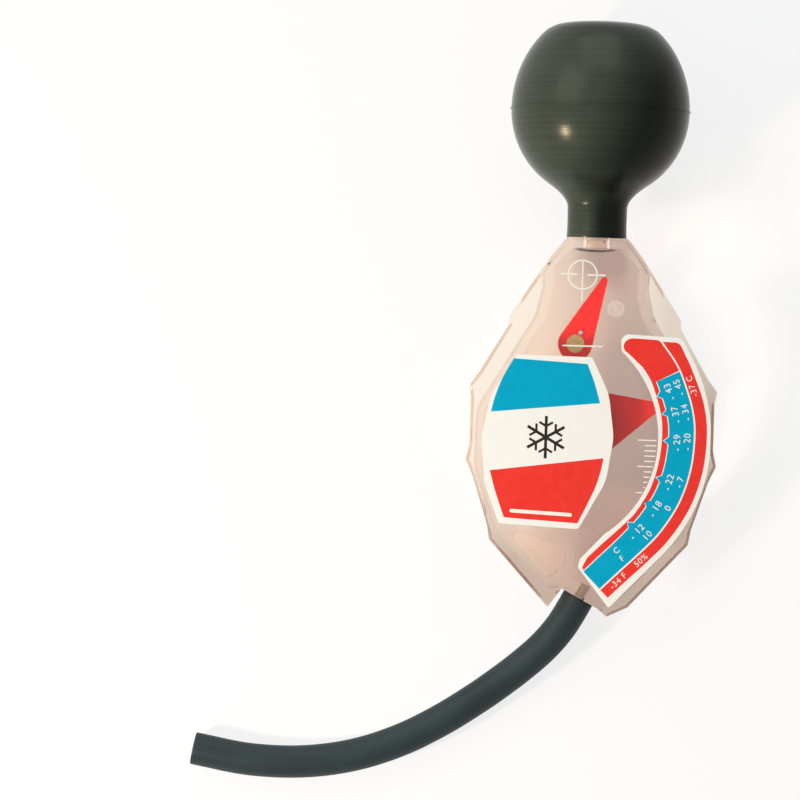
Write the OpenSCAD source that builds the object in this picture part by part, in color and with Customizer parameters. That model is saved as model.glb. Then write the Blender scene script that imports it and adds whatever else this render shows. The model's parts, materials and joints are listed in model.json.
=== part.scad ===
// Antifreeze tester: a clear tub with a flat clear cover, a float pointer and a plumb
// pointer inside, a rubber squeeze bulb on top and a free suction hose below.
// It lies on its back, as it does on a bench: bulb towards +Y, label face up.
// Pieces are drawn in the tester's own plane (X right, Y to the bulb, Z to the
// label face, with both spigots on Z = 0) and laid down on the floor by lying().

/* [Housing] */
// width over the widest lugs
body_w = 73; // [60:0.5:90]
// height from the toe to the flat top under the bulb
body_h = 110.4; // [95:0.2:130]
// depth of the hollow inside the tub
hollow_t = 14; // [13:0.5:20]
// floor of the tub
floor_t = 2; // [1.4:0.1:3]
// thickness of the flat cover
cover_t = 2.6; // [2:0.1:4]
// thickness of the tub's flange under the cover
flange_t = 1.8; // [1.4:0.1:3]
// bevel round the back of the tub and the front of the cover
bevel = 0.9; // [0.5:0.1:1.1]
// wall above the chamber, under the bulb
top_wall = 3; // [2:0.1:4]

/* [Bulb] */
// largest diameter of the squeeze bulb
bulb_d = 52.4; // [46:0.2:58]
// height of the equator above the flat top of the housing
bulb_rise = 37.7; // [35:0.1:42]
// height of the flat crown above the equator
crown_rise = 25.5; // [22:0.1:27]
// diameter of the flat crown
crown_d = 27.6; // [22:0.2:32]
// outside diameter of the bulb's neck
neck_d = 17.5; // [16.6:0.1:18.4]
// rubber wall of the bulb
rubber_t = 2.4; // [1.8:0.1:3]
// outside diameter of the spigot inside the neck
spigot_d = 12.4; // [11:0.1:12.8]
// bore of that spigot
spigot_bore = 8.4; // [6:0.1:8.8]

/* [Hose] */
// outside diameter of the suction hose
hose_od = 9.5; // [8.6:0.1:10.4]
// bore of the suction hose
hose_id = 6; // [5.4:0.1:6.4]
// lean of the spigot from the long axis, towards the left
hose_lean = 28; // [16:1:32]
// length of the barb inside the hose
barb_len = 4; // [3:0.5:6.5]
// bore of the barb
barb_bore = 3.4; // [2.6:0.1:3.8]

/* [Float] */
// radius of the float's round body
float_r = 15.9; // [13.5:0.1:16.6]
// reach of the pointer's tip from the pivot
float_reach = 37.1; // [34:0.1:38]
// thickness of the float
float_t = 5; // [4:0.1:5.4]
// direction of the pointer at rest, above the horizontal
float_rest = 16; // [0:1:30]
// lowest direction of the pointer
float_low = -66; // [-66:1:-40]
// highest direction of the pointer
float_high = 34; // [31:1:36]
// diameter of the brass weight in the float
float_weight_d = 6.8; // [5:0.1:7.4]

/* [Plumb pointer] */
// radius of the pointer's round end
plumb_r = 5; // [4.4:0.1:5.4]
// reach of its tip from the pivot
plumb_reach = 18; // [16:0.1:18.6]
// thickness of the plumb pointer
plumb_t = 3.6; // [3:0.1:4.4]
// lean at rest, to the right of the long axis
plumb_rest = 23; // [0:1:24]
// diameter of the brass weight
plumb_weight_d = 5.3; // [4:0.1:5.6]
// distance of that weight below the pivot
plumb_drop = 3.5; // [3.4:0.1:3.8]

/* [Labels] */
// thickness of the printed labels
label_t = 0.2; // [0.15:0.05:0.4]
// inner radius of the scale label, about the float's pivot
scale_r = 33.8; // [32:0.1:35]
// width of the scale label across its bands
scale_w = 15.4; // [14:0.1:16.5]

/* [Hidden] */
$fn = 64;
inner = hollow_t / 2;
back = inner + floor_t;
face = inner + cover_t;
sx = body_w / 73;
sy = body_h / 110.4;
fit = 0.05;
pin_fit = 0.04;
end_gap = 0.4;
stop_gap = 0.3;
face_gap = 0.1;
far = 300;

// places in the plane of the tester
top_y = 55.2 * sy;
float_at = [-14.4 * sx, -3.1 * sy];
plumb_at = [-4 * sx, 27.4 * sy];
peg_at = [6.2 * sx, 34.8 * sy];
inlet_at = [-2 * sx, -50.2 * sy];
inlet_out = [-sin(hose_lean), -cos(hose_lean)];
inlet_side = [cos(hose_lean), -sin(hose_lean)];
shoulder = hose_od / 2 + 1.3;
shoulder_r = inlet_at + shoulder * inlet_side;
shoulder_l = inlet_at - shoulder * inlet_side;

// pivots and weights
float_pin_r = 0.8;
float_boss_r = 3;
float_hub_t = float_t + 1.4;
float_weight_at = [1.5, -float_r + float_weight_d / 2 + 2.4];
plumb_pin_r = 0.6;
plumb_boss_r = 1.9;
pin_seat = 1.2;
peg_r = 1.4;
post_r = 2.5;
stop_r = 1.5;
stop_along = 6;
float_lean = asin((float_r - 0.6) / (float_reach - 0.6));

// bulb
bulb_r = bulb_d / 2;
equator_y = top_y + bulb_rise;
crown_y = equator_y + crown_rise;
crown_flat = crown_d / 2;
crown_tall = crown_rise / sqrt(1 - pow(crown_flat / bulb_r, 2));
crown_r = crown_flat - 0.7;
crown_t = rubber_t + 0.4;
neck_r = neck_d / 2;
seam = 0.3;
spigot_h = 11;
neck_flare = 5.75;

// lie of the tester on the floor
rest_y = shoulder_r[1] + bevel;
rest_run = equator_y - rest_y;
rest_r = bulb_r + seam / 2;
tilt = asin(rest_r / norm([rest_run, back])) - atan(back / rest_run);
lift = rest_r - equator_y * sin(tilt);
far_y = crown_y * cos(tilt) + crown_flat * sin(tilt);
toe_y = -55.2 * sy;
near_y = toe_y * cos(tilt) - (face - bevel) * sin(tilt);
shift_y = -(far_y + near_y) / 2;

module lying() {
  translate([0, shift_y, lift]) rotate([tilt, 0, 0]) children();
}

function laid(p) = [
  p[0],
  p[1] * cos(tilt) - p[2] * sin(tilt) + shift_y,
  p[1] * sin(tilt) + p[2] * cos(tilt) + lift
];

// outlines: corners with a fillet radius each, drawn anticlockwise
function unit(v) = v / norm(v);
function cross2(a, b) = a[0] * b[1] - a[1] * b[0];
function turn(v, a) = [v[0] * cos(a) - v[1] * sin(a), v[0] * sin(a) + v[1] * cos(a)];

function fillet(a, b, c, r) =
  let (
    p = unit(a - b),
    q = unit(c - b),
    g = acos(p * q),
    s = min(r / tan(g / 2), 0.48 * norm(a - b), 0.48 * norm(c - b)),
    rr = s * tan(g / 2),
    m = b + unit(p + q) * rr / sin(g / 2),
    from = b + p * s - m,
    way = cross2(p, q) > 0 ? -1 : 1,
    n = max(1, ceil((180 - g) / 10))
  )
  [for (i = [0 : n]) m + turn(from, way * (180 - g) * i / n)];

function rounded(c) =
  let (n = len(c))
  [
    for (i = [0 : n - 1])
      let (a = c[(i + n - 1) % n], b = c[i], d = c[(i + 1) % n])
      each fillet([a[0], a[1]], [b[0], b[1]], [d[0], d[1]], b[2])
  ];

function rounded_run(from, c, to) =
  let (n = len(c))
  [
    for (i = [0 : n - 1])
      let (a = i == 0 ? from : c[i - 1], b = c[i], d = i == n - 1 ? to : c[i + 1])
      each fillet([a[0], a[1]], [b[0], b[1]], [d[0], d[1]], b[2])
  ];

function inset(c, d) =
  let (n = len(c))
  [
    for (i = [0 : n - 1])
      let (
        e = unit(c[i] - c[(i + n - 1) % n]),
        f = unit(c[(i + 1) % n] - c[i]),
        m = [-e[1], e[0]],
        k = [-f[1], f[0]]
      )
      c[i] + d * (m + k) / (1 + m * k)
  ];

function flip(c) = [for (i = [len(c) - 1 : -1 : 0]) [-c[i][0], c[i][1], c[i][2]]];
function sized(c) = [for (p = c) [p[0] * sx, p[1] * sy, p[2]]];

// flange and cover: right side from the toe up to the flat top, lugs at the corners
flange_side = sized([
  [29, -33.6, 1.4],
  [29.7, -29.4, 3],
  [34.4, -15, 4],
  [36.5, -10.6, 1.4],
  [35.5, -6, 4],
  [35.5, 7.6, 3],
  [36.2, 11.2, 1.1],
  [33.3, 15, 5],
  [25.1, 29.2, 1.4],
  [25, 31.8, 1.4],
  [13.2, 49.8, 10],
  [8.8, 55.2, 1]
]);
toe_left = [-11.3 * sx, -52.9 * sy, 0.6];
toe_right = [5.9 * sx, toe_y, 0.5];
toe_round = [12 * sx, -52.3 * sy, 3];
flange_edge = rounded(concat(
  [
    [shoulder_l[0], shoulder_l[1], 0.4],
    [shoulder_r[0], shoulder_r[1], 0.4],
    toe_right,
    toe_round
  ],
  flange_side,
  flip(flange_side),
  [toe_left]
));

// chamber: pulled in at the head, where the flange makes two shoulders
chamber_side = sized([
  [27.6, -31, 4],
  [34, -12.5, 7],
  [33.9, 4.5, 12],
  [17.4, 32.2, 8],
  [15.4, 41, 5],
  [15.8, 44.8, 1.6],
  [12.6, 49.6, 8],
  [8.2, 55.2, 1.2]
]);
chamber_edge = rounded(concat(
  [
    [shoulder_l[0], shoulder_l[1], 1.4],
    [shoulder_r[0], shoulder_r[1], 1.6],
    [9.2 * sx, -50.6 * sy, 3]
  ],
  chamber_side,
  flip(chamber_side),
  [[-11.6 * sx, -47.6 * sy, 3]]
));

// inside of the chamber, with the weir that bulges in above the inlet
hollow_side = sized([
  [25.4, -30, 3],
  [31.8, -12, 5],
  [31.7, 3.9, 10],
  [14.3, 31.4, 8],
  [12.4, 40, 6],
  [12.6, 46.2, 1.4]
]);
hollow_edge = rounded(concat(
  [[2.2 * sx, -47.2 * sy, 2.4], [7.6 * sx, -47 * sy, 2]],
  hollow_side,
  [[7.2 * sx, top_y - top_wall, 1.4], [-7.2 * sx, top_y - top_wall, 1.4]],
  [for (i = [5 : -1 : 1]) [-hollow_side[i][0], hollow_side[i][1], hollow_side[i][2]]],
  [
    [-27.4 * sx, -26.6 * sy, 3],
    [-10.6 * sx, -31.4 * sy, 3],
    [-3.4 * sx, -35.6 * sy, 2.6],
    [-3.4 * sx, -40.6 * sy, 2.4],
    [-6 * sx, -43.6 * sy, 1.4]
  ]
));

// cored pocket behind the weir
pocket_edge = rounded([
  [-25 * sx, -30 * sy, 1.4],
  [-11.4 * sx, -44.6 * sy, 1.2],
  [-6.4 * sx, -40.4 * sy, 1.4],
  [-6.2 * sx, -37 * sy, 1.6],
  [-11.4 * sx, -34 * sy, 2]
]);

// sheet from Z = 0 up, with a bevel round its upper face
module bevelled(edge, h, b) {
  n = len(edge);
  ring = concat(
    [for (p = edge) [p[0], p[1], 0]],
    [for (p = edge) [p[0], p[1], h - b]],
    [for (p = inset(edge, b)) [p[0], p[1], h]],
    [[0, 0, 0], [0, 0, h]]
  );
  polyhedron(
    ring,
    concat(
      [for (i = [0 : n - 1]) [3 * n, i, (i + 1) % n]],
      [for (k = [0 : 1]) for (i = [0 : n - 1])
        [k * n + i, (k + 1) * n + i, (k + 1) * n + (i + 1) % n, k * n + (i + 1) % n]],
      [for (i = [0 : n - 1]) [3 * n + 1, 2 * n + (i + 1) % n, 2 * n + i]]
    )
  );
}

module along_inlet() {
  translate([inlet_at[0], inlet_at[1], 0]) rotate([90, 0, -hose_lean]) children();
}

module bulb_spigot() {
  translate([0, top_y - 0.5, 0]) rotate([-90, 0, 0]) union() {
    cylinder(d = spigot_d, h = spigot_h + 0.5);
    translate([0, 0, spigot_h - 3]) cylinder(d1 = spigot_d + 0.5, d2 = spigot_d - 0.6, h = 3);
  }
}

barb_r = hose_id / 2 * cos(15) - fit;
module barb() {
  along_inlet() rotate_extrude() polygon([
    [0, -0.5],
    [barb_r - 0.35, -0.5],
    [barb_r - 0.35, barb_len * 0.25],
    [barb_r, barb_len * 0.25],
    [barb_r - 0.35, barb_len * 0.5],
    [barb_r, barb_len * 0.5],
    [barb_r - 0.7, barb_len],
    [0, barb_len]
  ]);
}

module tub() {
  difference() {
    union() {
      translate([0, 0, inner - flange_t]) linear_extrude(flange_t) polygon(flange_edge);
      translate([0, 0, inner]) mirror([0, 0, 1]) bevelled(chamber_edge, inner + back, bevel);
      bulb_spigot();
      barb();
    }
    translate([0, 0, -inner]) linear_extrude(hollow_t + 1) polygon(hollow_edge);
    translate([0, 0, -inner]) linear_extrude(hollow_t + 1) polygon(pocket_edge);
    translate([0, top_y - top_wall - 1, 0]) rotate([-90, 0, 0])
      cylinder(d = spigot_bore, h = spigot_h + top_wall + 2);
    along_inlet() translate([0, 0, -6.5]) cylinder(d = barb_bore, h = barb_len + 7.5);
  }
}

// stop that the float's straight edge meets at one end of its travel
function stop_at(side, dir) =
  let (
    e = [
      float_r * sin(float_lean) + stop_along * cos(float_lean),
      side * (float_r * cos(float_lean) - stop_along * sin(float_lean))
    ],
    p = e + (stop_r + stop_gap) * [sin(float_lean), side * cos(float_lean)]
  )
  float_at + turn(p, dir);

module boss(at, r, bore, from) {
  translate([at[0], at[1], from]) difference() {
    cylinder(r = r, h = inner - from + 0.5);
    translate([0, 0, -1]) cylinder(r = bore + pin_fit, h = 1 + pin_seat + 0.2);
  }
}

float_face = float_hub_t / 2 + end_gap;
plumb_face = plumb_t / 2 + end_gap;

module cover() {
  color([0.86, 0.8, 0.77, 0.45]) lying() union() {
    translate([0, 0, inner]) bevelled(flange_edge, cover_t, bevel);
    boss(float_at, float_boss_r, float_pin_r, float_face);
    boss(plumb_at, plumb_boss_r, plumb_pin_r, plumb_face);
    translate([peg_at[0], peg_at[1], -0.8]) cylinder(r = peg_r, h = inner + 1.3);
  }
}

module housing() {
  color([0.86, 0.8, 0.77, 0.45]) lying() union() {
    tub();
    mirror([0, 0, 1]) boss(float_at, float_boss_r, float_pin_r, float_face);
    mirror([0, 0, 1]) boss(plumb_at, plumb_boss_r, plumb_pin_r, plumb_face);
    difference() {
      translate([peg_at[0], peg_at[1], -inner - 0.5]) cylinder(r = post_r, h = inner + 2.5);
      translate([peg_at[0], peg_at[1], -1.2]) cylinder(r = peg_r + fit, h = 4.2);
    }
    for (p = [stop_at(1, float_high), stop_at(-1, float_low)])
      translate([p[0], p[1], -inner - 0.5]) cylinder(r = stop_r, h = inner + float_t / 2 + 0.5);
  }
}

// plate of two round ends joined by their tangents, pointing along +X
function teardrop(r1, r2, d) =
  let (b = asin((r1 - r2) / d))
  concat(
    [for (i = [0 : 48])
      let (a = 90 - b + (180 + 2 * b) * i / 48)
      [r1 * cos(a), r1 * sin(a)]],
    [for (i = [0 : 8])
      let (a = b - 90 + (180 - 2 * b) * i / 8)
      [d + r2 * cos(a), r2 * sin(a)]]
  );

module float_pose() {
  lying() translate([float_at[0], float_at[1], 0]) rotate(float_rest) children();
}

module float_pointer() {
  color([0.85, 0.1, 0.06]) float_pose() difference() {
    union() {
      translate([0, 0, -float_t / 2]) linear_extrude(float_t)
        polygon(teardrop(float_r, 0.6, float_reach - 0.6));
      translate([0, 0, -float_hub_t / 2]) cylinder(r = float_boss_r + 0.4, h = float_hub_t);
    }
    translate([0, 0, -far / 2]) cylinder(r = float_pin_r + fit, h = far);
    translate([float_weight_at[0], float_weight_at[1], -far / 2])
      cylinder(d = float_weight_d, h = far);
  }
}

module float_weight() {
  color([0.75, 0.6, 0.28]) float_pose()
    translate([float_weight_at[0], float_weight_at[1], -float_t / 2 - 0.3])
      cylinder(d = float_weight_d - 2 * pin_fit, h = float_t + 0.6);
}

module pin(at, r, face) {
  lying() translate([at[0], at[1], -face - pin_seat]) cylinder(r = r, h = 2 * (face + pin_seat));
}

module float_pin() {
  color([0.72, 0.73, 0.75]) pin(float_at, float_pin_r, float_face);
}

module plumb_pose() {
  lying() translate([plumb_at[0], plumb_at[1], 0]) rotate(90 - plumb_rest) children();
}

module plumb_pointer() {
  color([0.86, 0.12, 0.08]) plumb_pose() difference() {
    translate([-plumb_drop, 0, -plumb_t / 2]) linear_extrude(plumb_t)
      polygon(teardrop(plumb_r, 0.9, plumb_reach + plumb_drop - 0.9));
    translate([0, 0, -far / 2]) cylinder(r = plumb_pin_r + fit, h = far);
    translate([-plumb_drop, 0, -far / 2]) cylinder(d = plumb_weight_d, h = far);
  }
}

module plumb_weight() {
  color([0.75, 0.6, 0.28]) plumb_pose()
    translate([-plumb_drop, 0, -plumb_t / 2 - 0.2])
      cylinder(d = plumb_weight_d - 2 * pin_fit, h = plumb_t + 0.4);
}

module plumb_pin() {
  color([0.72, 0.73, 0.75]) pin(plumb_at, plumb_pin_r, plumb_face);
}

// bulb: full ellipse above the equator, sphere below, flare from the sphere to the neck
lower_end = asin((neck_r + neck_flare) / bulb_r);
throat_y = equator_y - bulb_r * cos(lower_end);
flare_y = throat_y - neck_flare * tan(lower_end);
flare_end = flare_y - neck_flare * 0.53;
neck_bottom = top_y + face_gap;
neck_bore = spigot_d / 2 + 0.25 + fit;
function flare_skin(s, t) =
  let (
    way = unit([
      -(1 - s) * neck_flare,
      (1 - s) * (flare_y - throat_y) + s * (flare_end - flare_y)
    ]),
    r = neck_r + neck_flare * (1 - s) * (1 - s),
    y = (1 - s) * (1 - s) * throat_y + 2 * s * (1 - s) * flare_y + s * s * flare_end
  )
  [max(neck_bore, r + t * way[1]), y - t * way[0]];
function bulb_skin(t) =
  let (rise = acos(crown_rise / crown_tall))
  concat(
    [for (i = [0 : 10])
      let (a = 90 - rise - (90 - rise) * i / 10)
      [(bulb_r - t) * cos(a), equator_y + (crown_tall - t) * sin(a)]],
    [for (i = [1 : 12])
      let (a = (90 - lower_end) * i / 12)
      [(bulb_r - t) * cos(a), equator_y - (bulb_r - t) * sin(a)]],
    [for (i = [1 : 6]) flare_skin(i / 6, t)]
  );

module bulb_wall() {
  skin = bulb_skin(0);
  core = bulb_skin(rubber_t);
  color([0.12, 0.12, 0.12]) lying() rotate([-90, 0, 0]) difference() {
    union() {
      rotate_extrude() polygon(concat([[0, neck_bottom], [0, crown_y]],
        [for (p = skin) [p[0], min(p[1], crown_y)]], [[neck_r, neck_bottom]]));
      translate([0, 0, equator_y - 0.5])
        cylinder(r = bulb_r + seam, h = 1);
    }
    rotate_extrude() polygon(concat(
      [[0, neck_bottom - 1], [0, crown_y - crown_t]],
      [for (p = core) [p[0], min(p[1], crown_y - crown_t)]],
      [[neck_bore, flare_end - 0.5], [neck_bore, neck_bottom - 1]]
    ));
    translate([0, 0, crown_y - crown_t - 1]) cylinder(r = crown_r + fit, h = crown_t + 2);
  }
}

module bulb_crown() {
  color([0.12, 0.12, 0.12]) lying() translate([0, crown_y - crown_t, 0]) rotate([-90, 0, 0])
    cylinder(r = crown_r, h = crown_t);
}

// labels on the flat face of the cover
face_edge = inset(flange_edge, bevel);
module label(edge) {
  lying() translate([0, 0, face]) linear_extrude(label_t) intersection() {
    polygon(edge);
    polygon(face_edge);
  }
}

name_edge = rounded(sized([
  [-26.4, -28.9, 1],
  [-3.2, -29.9, 1],
  [4.5, -15.8, 14],
  [6.4, -3, 14],
  [4.6, 9.8, 14],
  [-0.6, 20.3, 1],
  [-22.6, 20.5, 1],
  [-29.8, 8.4, 8],
  [-32.2, -4, 12],
  [-30.9, -17.2, 12]
]));

scale_out = scale_r + scale_w;
scale_in_edge = [for (a = [44 : -4 : -56]) float_at + scale_r * [cos(a), sin(a)]];
scale_out_edge = [for (a = [-46 : 4 : 30]) float_at + scale_out * [cos(a), sin(a)]];
scale_tail = sized([[-2.4, -38.6, 1.4], [-2.9, -41, 1.2], [6.4, -52.6, 0.5]]);
scale_head = sized([[25.4, 26.7, 3], [7.6, 27.4, 3.4], [7.9, 22.4, 1.6]]);
scale_edge = concat(
  scale_in_edge,
  rounded_run(scale_in_edge[len(scale_in_edge) - 1], scale_tail, scale_out_edge[0]),
  scale_out_edge,
  rounded_run(scale_out_edge[len(scale_out_edge) - 1], scale_head, scale_in_edge[0])
);

module name_label() {
  color([0.2, 0.25, 0.55]) label(name_edge);
}

module scale_label() {
  color([0.82, 0.12, 0.1]) label(scale_edge);
}

// hose: straight over the barb, then down to the floor and round to the left
hose_floor = hose_od / 2 + 0.06;
hose_straight = barb_len + 0.5;
hose_start = laid([
  inlet_at[0] + face_gap * inlet_out[0],
  inlet_at[1] + face_gap * inlet_out[1],
  0
]);
hose_clear = laid([
  inlet_at[0] + hose_straight * inlet_out[0],
  inlet_at[1] + hose_straight * inlet_out[1],
  0
]);
hose_route = [
  hose_start,
  hose_clear,
  [-7.23, -90.55, hose_floor + 3.13],
  [-11.67, -95.95, hose_floor + 2.09],
  [-17.15, -101.07, hose_floor + 1.02],
  [-23.74, -106.43, hose_floor + 0.19],
  [-31.8, -112.36, hose_floor + 0.03],
  [-41.85, -118.9, hose_floor + 0.03],
  [-53.37, -124.9, hose_floor + 0.03],
  [-66.58, -129.51, hose_floor + 0.03],
  [-81.37, -131.88, hose_floor + 0.03],
  [-97.35, -131.67, hose_floor + 0.03],
  [-113.61, -128.97, hose_floor + 0.03]
];
hose_sides = 12;
hose_steps = 3;

function bend(a, b, c, d, t) =
  0.5 * (2 * b + (c - a) * t + (2 * a - 5 * b + 4 * c - d) * t * t
    + (3 * b - a - 3 * c + d) * t * t * t);

hose_last = len(hose_route) - 1;
hose_line = concat(
  [hose_start],
  [for (i = [1 : hose_last - 1]) for (k = [0 : hose_steps - 1])
    let (
      a = hose_route[i - 1],
      d = i + 2 > hose_last ? 2 * hose_route[i + 1] - hose_route[i] : hose_route[i + 2]
    )
    bend(a, hose_route[i], hose_route[i + 1], d, k / hose_steps)],
  [hose_route[hose_last]]
);

module hose() {
  n = len(hose_line);
  m = hose_sides;
  rings = [
    for (r = [hose_od / 2, hose_id / 2]) for (i = [0 : n - 1])
      let (
        way = unit(hose_line[min(i + 1, n - 1)] - hose_line[max(i - 1, 0)]),
        dir = i <= 1 ? unit(hose_clear - hose_start) : way,
        side = unit(cross(dir, [0, 0, 1])),
        up = cross(side, dir)
      )
      for (j = [0 : m - 1])
        hose_line[i] + r * (cos(360 * j / m) * side + sin(360 * j / m) * up)
  ];
  color([0.08, 0.08, 0.08]) polyhedron(rings, concat(
    [for (i = [0 : n - 2]) for (j = [0 : m - 1])
      [i * m + j, (i + 1) * m + j, (i + 1) * m + (j + 1) % m, i * m + (j + 1) % m]],
    [for (i = [0 : n - 2]) for (j = [0 : m - 1])
      [(n + i) * m + j, (n + i) * m + (j + 1) % m,
       (n + i + 1) * m + (j + 1) % m, (n + i + 1) * m + j]],
    [for (e = [0, n - 1]) for (j = [0 : m - 1])
      let (
        q = [e * m + j, e * m + (j + 1) % m, (n + e) * m + (j + 1) % m, (n + e) * m + j]
      )
      e == 0 ? q : [q[3], q[2], q[1], q[0]]]
  ));
}

housing();
cover();
bulb_wall();
bulb_crown();
hose();
name_label();
scale_label();
float_pointer();
float_weight();
float_pin();
plumb_pointer();
plumb_weight();
plumb_pin();
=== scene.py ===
# %% [markdown]
# # Antifreeze tester
# A clear flat chamber with two red pointers inside, a rubber squeeze bulb on top and a
# short suction hose below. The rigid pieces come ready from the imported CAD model. This
# lesson adds the soft pieces, the print on the labels and every finish.

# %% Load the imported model
import json
import math
import bpy
from mathutils import Matrix, Vector


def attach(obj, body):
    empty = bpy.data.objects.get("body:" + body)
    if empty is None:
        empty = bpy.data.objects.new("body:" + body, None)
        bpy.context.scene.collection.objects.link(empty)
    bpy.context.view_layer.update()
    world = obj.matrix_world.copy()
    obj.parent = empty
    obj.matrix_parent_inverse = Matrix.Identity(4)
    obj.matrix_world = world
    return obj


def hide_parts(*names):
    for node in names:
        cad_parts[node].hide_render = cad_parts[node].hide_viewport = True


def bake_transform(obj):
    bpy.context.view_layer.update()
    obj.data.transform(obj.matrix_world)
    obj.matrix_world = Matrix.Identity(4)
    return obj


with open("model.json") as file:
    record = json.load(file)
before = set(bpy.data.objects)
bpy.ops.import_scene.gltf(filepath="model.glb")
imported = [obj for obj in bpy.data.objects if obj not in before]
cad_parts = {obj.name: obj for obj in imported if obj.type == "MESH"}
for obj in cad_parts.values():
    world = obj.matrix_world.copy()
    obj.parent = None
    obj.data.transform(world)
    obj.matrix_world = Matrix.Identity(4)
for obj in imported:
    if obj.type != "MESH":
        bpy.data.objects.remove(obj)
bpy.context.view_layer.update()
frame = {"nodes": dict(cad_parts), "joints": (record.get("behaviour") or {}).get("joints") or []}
bpy.context.scene.view_settings.view_transform = "Standard"
MM = 0.001
print("nodes:", sorted(frame["nodes"]))

# %% [markdown]
# ## The plane of the tester
# The tester lies on its back, propped up a little by its round bulb, so its face isn't
# level. Everything on the face is easier to place in the face's own millimetres: u to the
# right, v towards the bulb and z up out of the face. The float's hinge gives that plane,
# because its axis stands square on the face and its place on the face is known.

# %% Measure the plane from the float's hinge
float_u, float_v = -14.4, -3.1
float_hinge = next(j for j in frame["joints"] if j["name"] == "float_swing")
face_up = Vector(float_hinge["axis"]).normalized()
to_right = Vector((1, 0, 0))
to_bulb = face_up.cross(to_right).normalized()
plane_zero = Vector(float_hinge["pos_m"]) - float_u * MM * to_right - float_v * MM * to_bulb
tester_plane = Matrix((to_right, to_bulb, face_up)).transposed().to_4x4()
tester_plane.translation = plane_zero
tilt = math.asin(to_bulb.z)


def on_tester(u, v, z=0.0):
    """A place in the frame, from millimetres on the face."""
    return tester_plane @ (Vector((u, v, z)) * MM)


print("the face leans back by", round(math.degrees(tilt), 2), "degrees")

# %% [markdown]
# ## The camera
# The photograph looks square onto the label face from rather more than a metre away, with a
# long lens and the picture turned by about two degrees. A long lens far away keeps the round
# bulb from looking larger than the flat face. The camera is built from three directions:
# right and up in the picture, and the face's own direction back towards the lens. The lens
# then follows from the width of face that the picture takes in.

# %% Set up the camera
picture_turn = math.radians(1.8)
picture_right = math.cos(picture_turn) * to_right + math.sin(picture_turn) * to_bulb
picture_up = math.cos(picture_turn) * to_bulb - math.sin(picture_turn) * to_right
picture_pixels, mm_per_pixel = 800, 0.2923
picture_middle = on_tester(-56.2, 6.1, 6.0)
camera_distance = 1.251
sensor_width = 36
bpy.ops.object.camera_add()
camera = bpy.context.object
camera.name = "photo_camera"
look = Matrix((picture_right, picture_up, face_up)).transposed().to_4x4()
look.translation = picture_middle + camera_distance * face_up
camera.matrix_world = look
camera.data.sensor_width = sensor_width
camera.data.lens = sensor_width * camera_distance / (picture_pixels * mm_per_pixel * MM)
bpy.context.scene.camera = camera
print("lens", round(camera.data.lens, 1), "mm")

# %% [markdown]
# ## The suction hose
# A short length of rubber hose is pushed over a barb at the toe and lies on the bench in
# one lazy curve, with a plain cut end. A hose is a tube swept along a line, so a Bezier
# curve with a round bevel gives its outside. Made into a mesh, Solidify then gives it a
# wall and an open bore, which shows at the cut end.

# %% Set out the hose's route
inlet = Vector((-2.0, -50.2))
hose_lean = math.radians(28)
inlet_out = Vector((-math.sin(hose_lean), -math.cos(hose_lean)))
hose_start, straight_end = 0.1, 4.5
hose_floor = 4.81
hose_lies = hose_floor + 0.03
hose_route = [on_tester(*(inlet + run * inlet_out)) for run in (hose_start, straight_end)]
hose_route += [
    Vector(p) * MM
    for p in [
        (-7.23, -90.55, hose_floor + 3.13),
        (-11.67, -95.95, hose_floor + 2.09),
        (-17.15, -101.07, hose_floor + 1.02),
        (-23.74, -106.43, hose_floor + 0.19),
        (-31.8, -112.36, hose_lies),
        (-41.85, -118.9, hose_lies),
        (-53.37, -124.9, hose_lies),
        (-66.58, -129.51, hose_lies),
        (-81.37, -131.88, hose_lies),
        (-97.35, -131.67, hose_lies),
        (-113.61, -128.97, hose_lies),
    ]
]
print("hose route of", len(hose_route), "places")

# %% Draw one smooth line through the route


def flowing(points, steps):
    """Points on one smooth curve that passes through all the given points."""
    line = []
    for i in range(len(points) - 1):
        b, c = points[i], points[i + 1]
        a = points[i - 1] if i else 2 * b - c
        d = points[i + 2] if i + 2 < len(points) else 2 * c - b
        for k in range(steps):
            t = k / steps
            line.append(
                0.5 * (2 * b + (c - a) * t + (2 * a - 5 * b + 4 * c - d) * t**2
                       + (3 * b - a - 3 * c + d) * t**3)
            )
    return line + [points[-1]]


route_steps = 3
hose_line = [hose_route[0]] + flowing(hose_route, route_steps)[route_steps:]

# %% Helpers that select a piece and apply a modifier


def only(obj):
    """Selects one object and makes it active, as a click does."""
    bpy.ops.object.select_all(action="DESELECT")
    obj.select_set(True)
    bpy.context.view_layer.objects.active = obj


def add_modifier(obj, kind, **settings):
    """Adds a modifier with the given settings and applies it."""
    only(obj)
    modifier = obj.modifiers.new(kind.lower(), kind)
    for key, value in settings.items():
        setattr(modifier, key, value)
    bpy.ops.object.modifier_apply(modifier=modifier.name)


print("modelling helpers ready")

# %% Sweep the hose and give it a wall
hose_od, hose_id = 9.5, 6.0
hose_curve = bpy.data.curves.new("suction_hose", "CURVE")
hose_curve.dimensions = "3D"
hose_curve.bevel_depth = hose_od / 2 * MM
hose_curve.bevel_resolution = 14
hose_curve.resolution_u = 6
strand = hose_curve.splines.new("BEZIER")
strand.bezier_points.add(len(hose_line) - 1)
for point, place in zip(strand.bezier_points, hose_line):
    point.co = place
    point.handle_left_type = point.handle_right_type = "AUTO"
hose = bpy.data.objects.new("suction_hose", hose_curve)
bpy.context.collection.objects.link(hose)
only(hose)
bpy.ops.object.convert(target="MESH")
hose = bpy.context.object
add_modifier(hose, "SOLIDIFY", thickness=(hose_od - hose_id) / 2 * MM, offset=-1, use_rim=True)
add_modifier(hose, "BEVEL", width=0.3 * MM, segments=3, limit_method="ANGLE",
             angle_limit=math.radians(60))
bpy.ops.object.shade_smooth_by_angle(angle=math.radians(40))
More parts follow.
